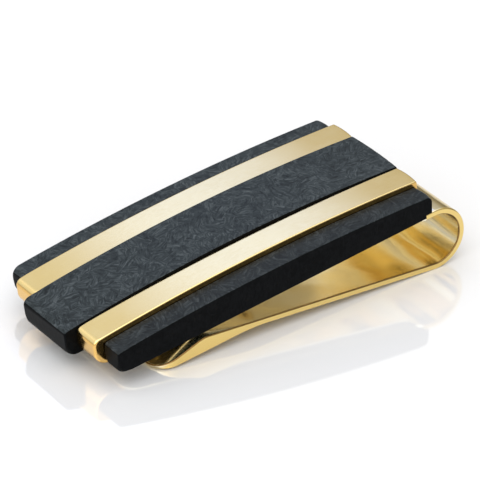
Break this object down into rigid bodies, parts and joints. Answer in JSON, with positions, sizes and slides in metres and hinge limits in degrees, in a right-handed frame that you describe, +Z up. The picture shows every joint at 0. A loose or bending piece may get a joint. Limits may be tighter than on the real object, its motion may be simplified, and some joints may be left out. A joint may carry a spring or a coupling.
{
  "type": "money clip",
  "caption": "Sprung money clip: an arched plate of carbon bars and gold rails on a U-bent gold band with a cam near its tip.",
  "frame": {"origin": "on the table, below the middle of the clip's bounding box, with the clip lying on its bend and its tip", "axes": "+X along the clip towards the bend, +Y across it towards the rear, +Z up from the table"},
  "size_m": [0.0572, 0.0244, 0.0123],
  "materials": {
    "forged_carbon": "satin forged carbon fibre, marbled with chopped fibres",
    "polished_gold": "mirror-polished gold plating",
    "spring_gold": "polished gold plating",
    "screw_gold": "polished gold plating",
    "pin_steel": "ground"
  },
  "bodies": {
    "spring": {"spring_arm": "spring_gold", "spring_bend": "spring_gold"},
    "plate": {"centre_bar": "forged_carbon", "front_rail": "polished_gold", "rear_rail": "polished_gold", "front_outer_bar": "forged_carbon", "rear_outer_bar": "forged_carbon", "tie_pins": "pin_steel", "rail_screws": "screw_gold", "spring_leg": "spring_gold"}
  },
  "joints": [
    {"name": "spring_opening", "type": "hinge", "parent": "spring", "child": "plate", "pos_m": [0.02664, 0, 0.00483], "axis": [0, 1, 0], "range_deg": [-0.5, 9], "stiffness_Nm_per_rad": 2, "springref_deg": 0.17, "deforming": ["spring_bend"]}
  ]
}
